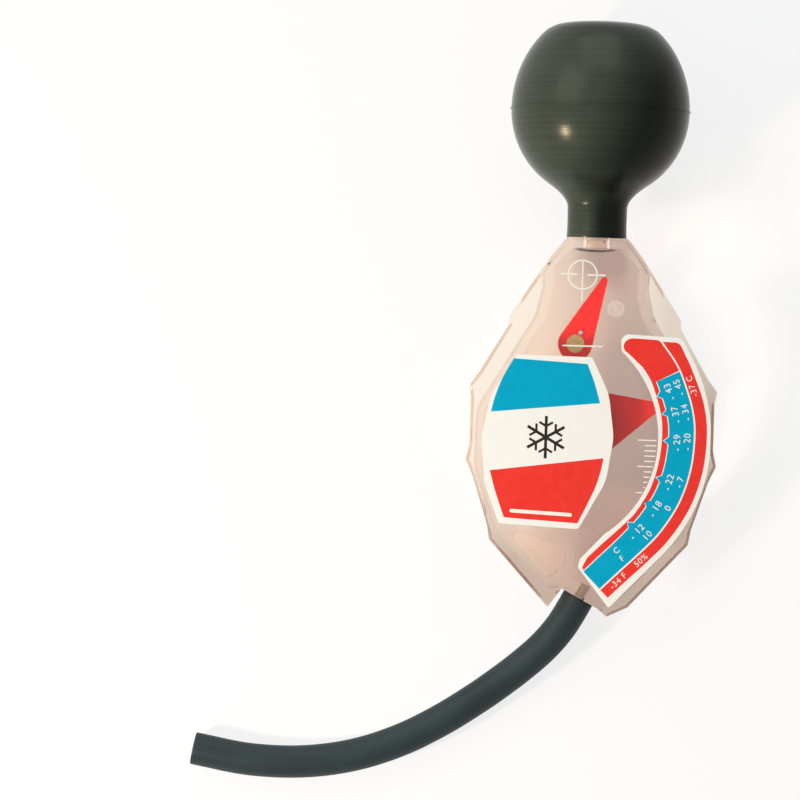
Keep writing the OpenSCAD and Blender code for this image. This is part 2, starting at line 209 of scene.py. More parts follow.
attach(hose, "tester")
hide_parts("hose")
print("hose faces", len(hose.data.polygons))

# %% [markdown]
# ## Shaders: arithmetic and mixing
# A shader is a tree of nodes joined by links. Most of the trees in this lesson need a few
# steps of arithmetic and a choice between two surfaces, so these come first. A socket is
# fed either by a link or by a plain value.

# %% Helpers for arithmetic


def feed(tree, socket, value):
    """Links a socket to another one, or sets it to a plain number or colour."""
    if isinstance(value, bpy.types.NodeSocket):
        tree.links.new(value, socket)
    else:
        socket.default_value = value


def worked(tree, operation, a, b):
    """One step of arithmetic; a and b are sockets or plain numbers."""
    step = tree.nodes.new("ShaderNodeMath")
    step.operation = operation
    feed(tree, step.inputs[0], a)
    feed(tree, step.inputs[1], b)
    return step.outputs[0]


print("arithmetic helpers ready")

# %% Helpers for surfaces


def choose_surface(tree, output, share, first, second):
    """Shows the first shader where share is 0 and the second where it is 1."""
    mix = tree.nodes.new("ShaderNodeMixShader")
    tree.links.new(share, mix.inputs[0])
    tree.links.new(first.outputs[0], mix.inputs[1])
    tree.links.new(second.outputs[0], mix.inputs[2])
    tree.links.new(mix.outputs[0], tree.nodes[output].inputs["Surface"])


def seen_rays(tree):
    """1 for rays that the eye sees: straight on, in a reflection or through clear plastic."""
    rays = tree.nodes.new("ShaderNodeLightPath")
    seen = rays.outputs["Is Camera Ray"]
    for kind in ("Is Glossy Ray", "Is Transmission Ray"):
        seen = worked(tree, "MAXIMUM", seen, rays.outputs[kind])
    return seen


def dress(obj, finish):
    """Gives an object one finish in place of what it had."""
    obj.data.materials.clear()
    obj.data.materials.append(finish)


print("surface helpers ready")

# %% [markdown]
# ## Floor and light
# The photograph is a product cut-out on white. The floor is a pale matt plane that the eye
# sees mostly as plain white. A fifth of its own shading stays, so it still takes the
# tester's soft shadow, and the white throws no light on the tester. A small warm lamp on the
# left makes the bright spot on the bulb. Two large soft lamps and an even sky do the rest, at
# a plain level, so that each colour comes out about as written.

# %% Make the floor
white_share = 0.8
floor_drop = 0.1
bpy.ops.object.select_all(action="DESELECT")
bpy.ops.mesh.primitive_plane_add(size=4, location=(0, 0, -floor_drop * MM))
floor = bpy.context.object
floor.name = "floor"
floor_finish = bpy.data.materials.new("pale_floor")
floor_finish.use_nodes = True
tree = floor_finish.node_tree
matt = tree.nodes["Principled BSDF"]
matt.inputs["Base Color"].default_value = (0.97, 0.97, 0.97, 1)
matt.inputs["Roughness"].default_value = 0.9
matt.inputs["Specular IOR Level"].default_value = 0.0
plain_white = tree.nodes.new("ShaderNodeEmission")
plain_white.inputs["Strength"].default_value = 1.0
seen_white = worked(tree, "MULTIPLY", seen_rays(tree), white_share)
choose_surface(tree, "Material Output", seen_white, matt, plain_white)
dress(floor, floor_finish)
print("floor ready")

# %% Hang the lamps and the sky
lamps_aim = on_tester(0, 20)


def soft_lamp(name, place, size, power, tint):
    """A square lamp of the given size in metres, turned towards the tester."""
    bpy.ops.object.light_add(type="AREA", location=place)
    lamp = bpy.context.object
    lamp.name = name
    lamp.data.shape = "SQUARE"
    lamp.data.size = size
    lamp.data.energy = power
    lamp.data.color = tint
    lamp.rotation_euler = (lamps_aim - Vector(place)).to_track_quat("-Z", "Y").to_euler()


soft_lamp("key_lamp", (-0.44, -0.27, 0.33), 0.06, 2.8, (1.0, 0.87, 0.68))
soft_lamp("fill_lamp", (-0.55, 0.3, 0.62), 0.5, 1.8, (1.0, 0.99, 0.97))
soft_lamp("back_lamp", (-0.06, 0.7, 0.46), 0.6, 2.0, (0.97, 0.99, 1.0))
world = bpy.data.worlds.new("studio")
bpy.context.scene.world = world
world.use_nodes = True
tree = world.node_tree
sky = tree.nodes["Background"]
sky.inputs["Color"].default_value = (0.97, 0.99, 1.0, 1)
sky.inputs["Strength"].default_value = 0.29
white_backdrop = tree.nodes.new("ShaderNodeBackground")
white_backdrop.inputs["Strength"].default_value = 1.0
choose_surface(tree, "World Output", seen_rays(tree), sky, white_backdrop)

# %% [markdown]
# ## Finishes: patterns
# A finish is a Principled shader with something that varies over the surface. The helpers
# below add a noise pattern in the object's own coordinates, a ramp from one colour to
# another, a range for roughness and a bump. Most finishes here are a mottle, in which one
# noise changes colour and roughness together.

# %% Helpers for a finish, its noise and its colours


def new_finish(name):
    """A new material, its tree and its Principled shader."""
    finish = bpy.data.materials.new(name)
    finish.use_nodes = True
    return finish, finish.node_tree, finish.node_tree.nodes["Principled BSDF"]


def grain(tree, scale, detail=3.0, stretch=(1, 1, 1), turn=(0, 0, 0)):
    """Noise over the piece; stretch above 1 makes the pattern finer along that axis."""
    place = tree.nodes.new("ShaderNodeTexCoord")
    fit = tree.nodes.new("ShaderNodeMapping")
    fit.vector_type = "TEXTURE"
    fit.inputs["Rotation"].default_value = turn
    fit.inputs["Scale"].default_value = [1 / s for s in stretch]
    noise = tree.nodes.new("ShaderNodeTexNoise")
    noise.inputs["Scale"].default_value = scale
    noise.inputs["Detail"].default_value = detail
    tree.links.new(place.outputs["Object"], fit.inputs["Vector"])
    tree.links.new(fit.outputs["Vector"], noise.inputs["Vector"])
    return noise.outputs["Fac"]


def tones(tree, factor, first, last, low=0.35, high=0.65):
    """A ramp from the first colour to the last, between two values of the factor."""
    ramp = tree.nodes.new("ShaderNodeValToRGB")
    for stop, position, colour in zip(ramp.color_ramp.elements, (low, high), (first, last)):
        stop.position = position
        stop.color = (*colour, 1)
    tree.links.new(factor, ramp.inputs["Fac"])
    return ramp.outputs["Color"]


print("noise and colour helpers ready")

# %% Helpers for roughness, bump and a whole mottle


def between(tree, noise, low, high):
    """A number between two limits; most of a noise lies between 0.3 and 0.7."""
    span = tree.nodes.new("ShaderNodeMapRange")
    span.inputs["From Min"].default_value = 0.3
    span.inputs["From Max"].default_value = 0.7
    span.inputs["To Min"].default_value = low
    span.inputs["To Max"].default_value = high
    tree.links.new(noise, span.inputs["Value"])
    return span.outputs["Result"]


def bumped(tree, shader, height, strength, depth):
    """Lifts the surface by a pattern, as far as light is concerned."""
    bump = tree.nodes.new("ShaderNodeBump")
    bump.inputs["Strength"].default_value = strength
    bump.inputs["Distance"].default_value = depth * MM
    tree.links.new(height, bump.inputs["Height"])
    tree.links.new(bump.outputs["Normal"], shader.inputs["Normal"])


def mottled(name, pattern, dark, light, rough, specular=0.5, metallic=0.0):
    """A finish whose colour and roughness follow one noise, given as scale and detail."""
    finish, tree, shader = new_finish(name)
    noise = grain(tree, *pattern)
    tree.links.new(tones(tree, noise, dark, light), shader.inputs["Base Color"])
    tree.links.new(between(tree, noise, *rough), shader.inputs["Roughness"])
    shader.inputs["Specular IOR Level"].default_value = specular
    shader.inputs["Metallic"].default_value = metallic
    return finish, tree, shader


print("roughness, bump and mottle helpers ready")

# %% [markdown]
# ## Finishes: fades
# Stains and wear aren't even: they sit on one side, or in one place. A fade runs from 0 to 1
# along a direction on the tester. Fades can be added, multiplied, bent into an arch and
# broken up by some cloud, and so they say where a second colour belongs.

# %% Helpers for fades


def fade(tree, way, start, end):
    """A value from 0 to 1 between two distances along a direction, from the face's middle."""
    place = tree.nodes.new("ShaderNodeTexCoord")
    dot = tree.nodes.new("ShaderNodeVectorMath")
    dot.operation = "DOT_PRODUCT"
    dot.inputs[1].default_value = way
    tree.links.new(place.outputs["Object"], dot.inputs[0])
    span = tree.nodes.new("ShaderNodeMapRange")
    span.inputs["From Min"].default_value = plane_zero.dot(way) + start * MM
    span.inputs["From Max"].default_value = plane_zero.dot(way) + end * MM
    tree.links.new(dot.outputs["Value"], span.inputs["Value"])
    return span.outputs["Result"]


def arched(tree, across, top):
    """An arch over a value that runs from 0 to 1, with the given top in the middle."""
    falling = worked(tree, "SUBTRACT", 4 * top, worked(tree, "MULTIPLY", across, 4 * top))
    return worked(tree, "MULTIPLY", across, falling)


print("fade helpers ready")

# %% Helpers that mix values and colours
cloud_share = 0.3


def cloudy(tree, even, cloud):
    """An even value with some cloud in it."""
    mix = tree.nodes.new("ShaderNodeMix")
    mix.inputs["Factor"].default_value = cloud_share
    tree.links.new(even, mix.inputs["A"])
    tree.links.new(cloud, mix.inputs["B"])
    return mix.outputs["Result"]


def mixed(tree, factor, a, b, way="MIX"):
    """Two colours mixed by a factor; each is a socket or a plain value."""
    mix = tree.nodes.new("ShaderNodeMix")
    mix.data_type = "RGBA"
    mix.blend_type = way
    for name, value in (("Factor", factor), ("A", a), ("B", b)):
        feed(tree, mix.inputs[name], value)
    return mix.outputs["Result"]


print("mixing helpers ready")

# %% [markdown]
# ## Finish: moulded rubber
# The bulb is dark olive-black rubber with a satin skin. Its mould was turned on a lathe,
# so faint rings run round it. Noise that is squeezed along the bulb's axis makes those
# rings. A cloudy fade paints light on the upper left and on the left of the neck. It goes
# from a black skin to a paler tone, as if a lamp lit that side, and a little noise and the
# rings break it up. The hose is plainer: blue-black rubber with a fine, dull grain.

# %% Bulb rubber and hose rubber
bulb_rubber, tree, shader = new_finish("bulb_rubber")
rings = grain(tree, 30, 4, stretch=(0.3, 48, 0.3), turn=(tilt, 0, 0))
worn = cloudy(tree, grain(tree, 45, 4), rings)
# Painted light: the bulb's upper left and the left of its neck are paler, as if lit from that
# side.
lit_upper_left = fade(tree, 0.39 * to_bulb - 0.92 * to_right, 23, 39)
lit_neck_left = worked(tree, "MULTIPLY", fade(tree, -to_right, -1, 4), fade(tree, -to_bulb, -72, -60))
painted_light_and_mottle = cloudy(tree, worked(tree, "ADD", lit_upper_left, lit_neck_left), worn)
# From a black skin in shade to a paler tone of painted light.
skin_and_painted_light = tones(tree, painted_light_and_mottle, (0.004, 0.008, 0.006), (0.047, 0.06, 0.048), 0.16, 0.84)
ring_shade = tones(tree, rings, (0.87, 0.87, 0.87), (1.0, 1.0, 1.0), 0.38, 0.62)
tree.links.new(mixed(tree, 1.0, skin_and_painted_light, ring_shade, "MULTIPLY"), shader.inputs["Base Color"])
tree.links.new(between(tree, worn, 0.18, 0.28), shader.inputs["Roughness"])
shader.inputs["Specular IOR Level"].default_value = 0.15
shader.inputs["Specular Tint"].default_value = (1.0, 0.9, 0.74, 1)
bumped(tree, shader, rings, strength=0.1, depth=0.2)

hose_rubber, tree, shader = mottled(
    "hose_rubber", (70, 5), (0.01, 0.021, 0.025), (0.0175, 0.0325, 0.0375), (0.5, 0.62),
    specular=0.35)
bumped(tree, shader, grain(tree, 1400, 2), strength=0.2, depth=0.1)
dress(hose, hose_rubber)
print("rubber finishes ready")

# %% [markdown]
# ## The squeeze bulb
# The bulb is one hollow rubber moulding: a flat crown with a soft edge, a full round body
# with a parting seam at its widest, and a long flare down to the neck that grips the
# spigot. It is a turned shape, so its section is drawn as one closed line, outside and
# inside, by extruding a single vertex from point to point, and Spin turns it into a body.
# Each point is a distance from the bulb's axis and a distance along it.

# %% Work out the bulb's section
bulb_r, seam_r, wall = 26.2, 26.5, 2.4
equator = 92.9
crown_tall = 30.0
crown_lift, seam_lift, inner_lift = 51.3, 0.4, 52
flare_drop = 56.4
flare_out, flare_steps = 5.75, 12
flare_top, flare_pull, flare_low = 71.08, 67.26, 64.21
neck_r, neck_low = 8.75, 55.3
spigot_r, spigot_top = 6.55, 64.6
near_axis = 0.01


def round_run(radius, tall, start, end, count):
    """Points of an arc about the equator, from one angle to another in degrees."""
    turns = [math.radians(start + (end - start) * i / (count - 1)) for i in range(count)]
    return [(radius * math.cos(t), equator + tall * math.sin(t)) for t in turns]


outside = [(near_axis, 118.75), (5.0, 118.72), (8.0, 118.58), (10.5, 118.35), (12.4, 118.02),
           (13.6, 117.7), (14.5, 117.35), (15.2, 116.95)]
outside += round_run(bulb_r, crown_tall, crown_lift, seam_lift, 14)
outside += [(bulb_r, equator + 0.32), (seam_r, equator + 0.16), (seam_r, equator - 0.14),
            (bulb_r, equator - 0.26)]
outside += round_run(bulb_r, bulb_r, 0, -flare_drop, 16)[1:]
for i in range(1, flare_steps + 1):
    s = i / flare_steps
    height = flare_top * (1 - s) ** 2 + flare_pull * 2 * s * (1 - s) + flare_low * s * s
    outside.append((neck_r + flare_out * (1 - s) ** 2, height))
outside += [(8.72, 62), (8.7, 59), (neck_r, 56.6), (8.85, 55.8), (8.7, neck_low + 0.1),
            (8.4, neck_low)]
inner_r, inner_tall = bulb_r - wall, crown_tall - wall
inside = [(spigot_r, neck_low), (spigot_r, spigot_top), (6.92, 66.75), (8.35, 69.0)]
inside += round_run(inner_r, inner_r, -flare_drop, 0, 10)
inside += round_run(inner_r, inner_tall, 0, inner_lift, 8)[1:]
inside += [(11.6, 115.5), (near_axis, 115.6)]
print("section:", len(outside), "points outside and", len(inside), "inside")

# %% Draw the section


def draw_line(name, places):
    """A new mesh of one line, extruded vertex by vertex."""
    bpy.ops.object.select_all(action="DESELECT")
    bpy.ops.mesh.primitive_plane_add(size=1 * MM, location=places[0])
    obj = bpy.context.object
    obj.name = obj.data.name = name
    bpy.ops.object.transform_apply()
    bpy.ops.object.mode_set(mode="EDIT")
    bpy.ops.mesh.select_all(action="SELECT")
    bpy.ops.mesh.merge(type="CENTER")
    for a, b in zip(places, places[1:]):
        bpy.ops.mesh.extrude_region_move(TRANSFORM_OT_translate={"value": b - a})
    bpy.ops.object.mode_set(mode="OBJECT")
    return obj


bulb = draw_line("rubber_bulb", [on_tester(r, y) for r, y in outside + inside])
print("section of", len(bulb.data.vertices), "points")

# %% Spin the section about the bulb's axis
only(bulb)
bpy.ops.object.mode_set(mode="EDIT")
bpy.ops.mesh.select_all(action="SELECT")
bpy.ops.mesh.spin(steps=96, angle=2 * math.pi, center=on_tester(0, 0), axis=to_bulb)
bpy.ops.mesh.select_all(action="SELECT")
bpy.ops.mesh.remove_doubles(threshold=0.03 * MM)
bpy.ops.mesh.normals_make_consistent(inside=False)
bpy.ops.object.mode_set(mode="OBJECT")
bpy.ops.object.shade_smooth_by_angle(angle=math.radians(50))
dress(bulb, bulb_rubber)
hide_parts("bulb_wall", "bulb_crown")
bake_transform(bulb)
print("bulb faces", len(bulb.data.polygons))

# %% [markdown]
# ## Finish: clear plastic
# The tub and its cover are clear styrene. It is glass to the eye, so the shader lets light
# through and bends it. The cover has stayed nearly colourless. The tub's floor has a warm,
# tea-coloured tint, with painted shade that darkens it towards the right, away from the
# lamps, and a painted shadow under the bulb's neck. The flange's tint darkens towards the
# toe and on the right lug. A thin lens of painted shade lies at the foot of the wall under
# the bulb.
# Lamps would throw a black shadow through glass, so rays on their way to a lamp see a thin
# tinted sheet instead.

# %% Where the tints and the painted shade lie
# Strengths of the painted shade to the right, the painted shadow under the neck and the right
# lug's darkening.
shade_to_right_strength, shadow_under_neck_strength, right_lug_strength = 0.9, 0.6, 0.36


def painted_shade_line(tree):
    """Painted shade: 1 on a thin lens on the tub's floor, at the foot of the wall under the bulb.
    """
    bow = arched(tree, fade(tree, to_right, -6.5, 6.7), 1.0)
    near_wall = fade(tree, to_bulb, 51.5, 52.25)
    lens = worked(tree, "GREATER_THAN", worked(tree, "ADD", bow, near_wall), 1.0)
    below = worked(tree, "LESS_THAN", fade(tree, face_up, -6.9, -6.5), 0.5)
    above = worked(tree, "GREATER_THAN", fade(tree, face_up, -7.5, -7.1), 0.5)
    return worked(tree, "MULTIPLY", lens, worked(tree, "MULTIPLY", below, above))


def floor_tint_and_shade(tree, haze):
    """The tint of the tub's floor, with painted shade to the right and a painted shadow under the
    bulb.
    """
    # Painted shade: darker towards the right, away from the lamps on the left.
    shade_to_right = fade(tree, 0.995 * to_right - 0.1 * to_bulb, -20, 3.5)
    # Painted shadow: a darker patch on the floor under the bulb's neck.
    shadow_under_neck = worked(tree, "MULTIPLY", arched(tree, fade(tree, to_right, -7, 11), shadow_under_neck_strength),
                  fade(tree, to_bulb, 39, 47))
    darkening = worked(tree, "ADD", worked(tree, "MULTIPLY", shade_to_right, shade_to_right_strength), shadow_under_neck)
    weak, strong = (0.87, 0.66, 0.53), (0.371, 0.231, 0.204)
    return tones(tree, cloudy(tree, darkening, haze), weak, strong, 0.18, 1.0)


def flange_tint(tree, haze):
    """The tint of the tub's flange, stronger at the toe and on the right lug."""
    to_toe = fade(tree, 0.45 * to_right - 0.89 * to_bulb, -10, 25)
    right_lug = worked(tree, "MULTIPLY", fade(tree, to_right, 12, 22), fade(tree, to_bulb, -5, 8))
    darkening = worked(tree, "ADD", to_toe, worked(tree, "MULTIPLY", right_lug, right_lug_strength))
    weak, strong = (0.97, 0.89, 0.78), (0.58, 0.46, 0.39)
    return tones(tree, cloudy(tree, darkening, haze), weak, strong, 0.18, 0.82)


print("stain helpers ready")

# %% Tints of the tub and the cover
# The colour of the painted shade at the foot of the wall under the bulb.
painted_shade_line_colour = (0.035, 0.028, 0.022, 1)


def tub_tint_and_shade(tree, haze):
    """The floor's tint and painted shade below, the flange's tint above, and the painted shade
    line.
    """
    up_the_wall = fade(tree, face_up, -8, -5.5)
    tinted_and_shaded = mixed(tree, up_the_wall, floor_tint_and_shade(tree, haze), flange_tint(tree, haze))
    # Painted shade: a dark lens at the foot of the wall under the bulb.
    return mixed(tree, painted_shade_line(tree), tinted_and_shaded, painted_shade_line_colour)


def cover_tint(tree, haze):
    """Almost no colour, a little warmer in patches."""
    return tones(tree, haze, (0.985, 0.97, 0.95), (1.0, 0.99, 0.975))


print("tints ready")

# %% Clear plastic for the tub and the cover


def clear_finish(name, tint_of):
    """Clear plastic with a tint, which lamps shine through."""
    finish, tree, shader = new_finish(name)
    haze = grain(tree, 30, 4)
    tree.links.new(tint_of(tree, haze), shader.inputs["Base Color"])
    tree.links.new(between(tree, haze, 0.02, 0.06), shader.inputs["Roughness"])
    shader.inputs["Transmission Weight"].default_value = 1.0
    shader.inputs["IOR"].default_value = 1.32
    rays = tree.nodes.new("ShaderNodeLightPath")
    sheet = tree.nodes.new("ShaderNodeBsdfTransparent")
    sheet.inputs["Color"].default_value = (0.95, 0.92, 0.9, 1)
    choose_surface(tree, "Material Output", rays.outputs["Is Shadow Ray"], shader, sheet)
    return finish


dress(frame["nodes"]["housing"], clear_finish("tub_plastic_and_shade", tub_tint_and_shade))
print("clear plastic on the housing")

# %% [markdown]
# ## The cover
# The cover lies face to face on the tub's flange. Where two clear faces share one plane, a
# ray can't tell which comes first, and the render shows a dotted grain. So a copy of the
# cover stands in for it, with its underside lifted by a hair. The copy comes as loose
# triangles, which are merged first, and its flat faces are then dissolved into whole ones.

# %% Lift the underside of a copy of the cover
clear_cover = bpy.data.objects.new("clear_cover", frame["nodes"]["cover"].data.copy())
bpy.context.collection.objects.link(clear_cover)
only(clear_cover)
bpy.ops.object.mode_set(mode="EDIT")
bpy.ops.mesh.select_all(action="SELECT")
bpy.ops.mesh.customdata_custom_splitnormals_clear()
bpy.ops.mesh.remove_doubles(threshold=0.002 * MM)
bpy.ops.mesh.dissolve_limited(angle_limit=math.radians(0.3))
bpy.ops.mesh.select_all(action="DESELECT")
bpy.ops.object.mode_set(mode="OBJECT")
underside, seat_gap, near_enough = 7.0, 0.05, 0.02
for vertex in clear_cover.data.vertices:
    height = (vertex.co - plane_zero).dot(face_up) / MM
    vertex.select = abs(height - underside) < near_enough
lifted = sum(vertex.select for vertex in clear_cover.data.vertices)
bpy.ops.object.mode_set(mode="EDIT")
bpy.ops.transform.translate(value=seat_gap * MM * face_up)
bpy.ops.object.mode_set(mode="OBJECT")
bpy.ops.object.shade_smooth_by_angle(angle=math.radians(20))
dress(clear_cover, clear_finish("cover_plastic", cover_tint))
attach(clear_cover, "tester")
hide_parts("cover")
print("lifted", lifted, "of", len(clear_cover.data.vertices), "points,",
      len(clear_cover.data.polygons), "faces")

# %% [markdown]
# ## Finish: the pointers and their fittings
# Float and plumb pointer are moulded in bright red plastic, balanced by brass slugs, and
# turn on thin steel pins. Brass and steel are plain metals with fine scuffs.

# %% Red plastic, brass and steel
red_plastic, _, _ = mottled("red_plastic", (60, 3), (0.57, 0.006, 0.004), (0.63, 0.011, 0.007),
                            (0.3, 0.42), specular=0.2)
dull_brass, _, _ = mottled("dull_brass", (900, 3), (0.44, 0.28, 0.1), (0.62, 0.42, 0.18),
                           (0.35, 0.5), metallic=1.0)
bright_steel, _, _ = mottled("bright_steel", (700, 2), (0.5, 0.5, 0.51), (0.66, 0.66, 0.67),
                             (0.25, 0.38), metallic=1.0)
for pointer in ("float", "plumb"):
    for piece, finish in (("pointer", red_plastic), ("weight", dull_brass), ("pin", bright_steel)):
        dress(frame["nodes"][f"{pointer}_{piece}"], finish)
print("pointer finishes ready")

# %% [markdown]
# ## Finish: label film and inks
# Both labels are cream-white film with glossy printed bands. Film and inks share a faint
# mottle, and each ink sits on the film as its own very thin sheet, so its edge stays crisp.

# %% Label film and its inks


def print_finish(name, dark, light, low, high):
    """Film or ink with a faint mottle and a very fine tooth."""
    finish, tree, shader = mottled(name, (420, 5), dark, light, (low, high), specular=0.12)
    bumped(tree, shader, grain(tree, 900, 2), strength=0.05, depth=0.05)
    return finish


label_film = print_finish("label_film", (0.92, 0.93, 0.92), (0.945, 0.955, 0.95), 0.3, 0.42)
blue_ink = print_finish("blue_ink", (0.0, 0.38, 0.63), (0.001, 0.405, 0.66), 0.3, 0.4)
red_ink = print_finish("red_ink", (0.85, 0.042, 0.032), (0.89, 0.05, 0.04), 0.3, 0.4)
dark_ink = print_finish("dark_ink", (0.018, 0.017, 0.016), (0.03, 0.028, 0.026), 0.35, 0.45)
white_ink = print_finish("white_ink", (0.92, 0.91, 0.86), (0.96, 0.95, 0.91), 0.35, 0.45)
for label in ("name_label", "scale_label"):
    dress(frame["nodes"][label], label_film)
print("label finishes ready")

# %% [markdown]
# ## The print on the name label
# A blue band at the top and a red band at the bottom follow the label's bowed sides, with
# a slanted white field between them and one plain white bar at the foot. The field carries
# a plain snow star, the common sign for frost. All are flat filled curves. A flat curve is
# made a mesh first, and only then laid on the face.

# %% A helper that prints a flat shape on the face
film_top = 9.8
ink_thick = 0.02
first_ink = film_top + 0.012
second_ink = film_top + 0.034


def printed(name, outlines, ink, height=first_ink, thick=ink_thick):
    """A thin filled sheet with the given outlines, in millimetres on the face."""
    curve = bpy.data.curves.new(name, "CURVE")
    curve.dimensions = "2D"
    curve.fill_mode = "BOTH"
    curve.extrude = thick / 2 * MM
    for outline in outlines:
        loop = curve.splines.new("POLY")
        loop.points.add(len(outline) - 1)
        for point, (u, v) in zip(loop.points, outline):
            point.co = (u * MM, v * MM, 0, 1)
        loop.use_cyclic_u = True
    obj = bpy.data.objects.new(name, curve)
    bpy.context.collection.objects.link(obj)
    only(obj)
    bpy.ops.object.convert(target="MESH")
    obj = bpy.context.object
    obj.matrix_world = tester_plane @ Matrix.Translation((0, 0, height * MM))
    bpy.ops.object.transform_apply()
    dress(obj, ink)
    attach(obj, "tester")


print("inks at", first_ink, "and", second_ink, "mm")

# %% Helpers for outlines
end_steps = 8


def bar(a, b, width):
    """Outline of a straight bar with round ends."""
    a, b = Vector(a), Vector(b)
    way = (b - a).normalized()
    side = Vector((-way.y, way.x))
    turn = [math.radians(180 * i / end_steps) for i in range(end_steps + 1)]
    return [b + width / 2 * (math.sin(t) * way - math.cos(t) * side) for t in turn] + [
        a + width / 2 * (math.cos(t) * side - math.sin(t) * way) for t in turn]


def bowed(*points, steps=4):
    """A smooth edge through the given points."""
    return flowing([Vector(p) for p in points], steps)


print("outline helpers ready")

# %% Print the bands of the name label
blue_band = bowed((-23.4, 19.3), (-26.5, 13.6), (-28.5, 8.2), (-29.6, 3.6))
blue_band += bowed((2.1, 7.0), (0.3, 12.9), (-1.9, 18.3))
printed("name_blue_band", [blue_band], blue_ink)
red_band = bowed((-29.4, -13.5), (-27.7, -19.4), (-24.9, -27.1))
red_band += bowed((-3.4, -28.2), (1.1, -18.5), (2.8, -13.1), (3.6, -9.0))
printed("name_red_band", [red_band], red_ink)
printed("name_white_bar", [bar((-22.8, -25.1), (-5.6, -25.8), 1.05)], white_ink, second_ink)
print("bands of", len(blue_band), "and", len(red_band), "points")

# %% Print the snow star


def snow_star(centre, reach, half, twig):
    """One outline of a six-armed snow star, each arm with a pair of twigs."""
    root, fork = half / math.tan(math.radians(30)), 0.5 * reach
    out = Vector((math.sin(math.radians(60)), math.cos(math.radians(60))))
    up = Vector((-out.y, out.x)) * 1.6 * half
    low = Vector((half, fork))
    tip = low + twig * out
    back = tip + up - out * ((tip + up).x - half) / out.x
    right = [Vector((half, root)), low, tip, tip + up, back, Vector((half, reach))]
    arm = right + [Vector((-q.x, q.y)) for q in right[::-1]][:-1]
    return [Vector(centre) + Matrix.Rotation(math.radians(60 * k), 2) @ q
            for k in range(6) for q in arm]


star = snow_star((-13.4, -3.4), reach=6.2, half=0.42, twig=2.0)
printed("snow_sign", [star], dark_ink)
print("star of", len(star), "points")

# %% [markdown]
# ## The print on the scale label
# The scale follows one curved line down the right side: a blue band with two rows of
# plain numbers on its inner side and a red band on its outer side. A narrow red strip
# runs inside the blue, and small notches in it mark the readings. All shapes are set out
# from that one line, at a distance along it and a distance to its side.

# %% The line that the scale follows
scale_line = bowed((19.0, 26.0), (23.8, 19.4), (26.3, 14.2), (29.0, 6.1), (29.9, -1.2),
                   (29.1, -11.2), (26.1, -21.0), (21.0, -29.6), (15.7, -35.5), (9.0, -42.0),
                   (3.7, -47.2), steps=12)
scale_steps = [0.0]
for a, b in zip(scale_line, scale_line[1:]):
    scale_steps.append(scale_steps[-1] + (b - a).length)
scale_end = scale_steps[-1]


def on_scale(along, aside):
    """A point along the scale line, aside to its outer side, and the reading direction."""
    i = max(k for k in range(len(scale_line) - 1) if scale_steps[k] <= along or k == 0)
    way = (scale_line[min(i + 2, len(scale_line) - 1)] - scale_line[max(i - 1, 0)]).normalized()
    step = (scale_line[i + 1] - scale_line[i]).normalized()
    outer = Vector((-way.y, way.x))
    place = scale_line[i] + (along - scale_steps[i]) * step + aside * outer
    return place, math.atan2(-way.y, -way.x)


def along_scale(start, end, aside, count=60):
    """A run of points beside the scale line; aside may change along it."""
    run = [start + (end - start) * i / count for i in range(count + 1)]
    return [on_scale(s, aside(s) if callable(aside) else aside)[0] for s in run]


print("scale line", round(scale_end, 1), "mm")

# %% Edges of the scale's bands


def stepped(*keys):
    """A value that changes evenly between the given places."""
    def at(s):
        for (s0, v0), (s1, v1) in zip(keys, keys[1:]):
            if s <= s1:
                return v0 + (v1 - v0) * max(0.0, s - s0) / (s1 - s0)
        return keys[-1][1]
    return at


blue_side = stepped((10, -7.4), (30, -7.4), (38, -7.5), (62, -7.5), (74, -7.1), (85, -7.0))
strip_side = stepped((3.8, -8.7), (12.5, -8.9), (19, -9.1), (27, -9.4), (40, -9.5), (62, -9.1),
                     (75, -9.3), (85, -9.2))
outer_side = stepped((8, 3.5), (12, 3.35), (20, 3.6), (40, 3.6), (62, 3.4), (85, 3.4))
readings = [15.7, 22.1, 32.3, 45.7, 55.7, 65.4]
blue_start = 10.9
edge_step, clear_of_notch = 0.6, 1.2
notch_before, notch_after, notch_deep = 1.3, 1.1, 1.45


def notched(gap):
    """The edge between strip and blue, with a notch towards the pointer at each reading."""
    edge = []
    count = int((scale_end - blue_start) / edge_step)
    for s in [blue_start + i * edge_step for i in range(count)] + [scale_end]:
        if all(abs(s - r) > clear_of_notch for r in readings):
            edge.append((s, blue_side(s) + gap))
    for r in readings:
        side = blue_side(r) + gap
        edge += [(r - notch_before, side), (r, side - notch_deep), (r + notch_after, side)]
    return [on_scale(s, a)[0] for s, a in sorted(edge)]


print("readings:", len(readings))

# %% Print the bands of the scale
blue_outer, red_inner, strip_gap = -0.2, 0.3, -0.3
printed("scale_blue_band",
        [notched(0.0) + along_scale(scale_end, blue_start, blue_outer)], blue_ink)
strip = [Vector(p) for p in [(18.3, 25.9), (11.4, 26.2), (10.4, 26.1), (9.5, 25.7), (8.8, 25.0),
                             (8.45, 24.1), (8.5, 23.2), (9.0, 22.4), (10.0, 21.7)]]
strip += along_scale(3.8, scale_end - 3.5, strip_side)
strip += [on_scale(scale_end - 0.6, -8.2)[0], on_scale(scale_end - 0.3, -7.2)[0]]
strip += notched(strip_gap)[::-1]
strip += along_scale(blue_start + strip_gap, 0.6, blue_outer, 12)
printed("scale_red_strip", [strip], red_ink)
outer = along_scale(0.9, scale_end, red_inner) + along_scale(scale_end, 8, outer_side)
outer += [Vector(p) for p in [(25.3, 24.2), (24.7, 24.9), (23.8, 25.35)]]
printed("scale_red_band", [outer], red_ink)
print("scale bands printed")

# %% [markdown]
# ## Numbers on the scale
# Two rows of plain numbers, one for each temperature scale, read upwards along the line, and
# a letter at the foot of each row names its scale. Three more readings stand on the red
# band. Each is a text object, made a mesh before it is turned and laid on the face, and all
# of them are joined into one piece.

# %% A helper that sets text along the scale
letter_gap = 1.12


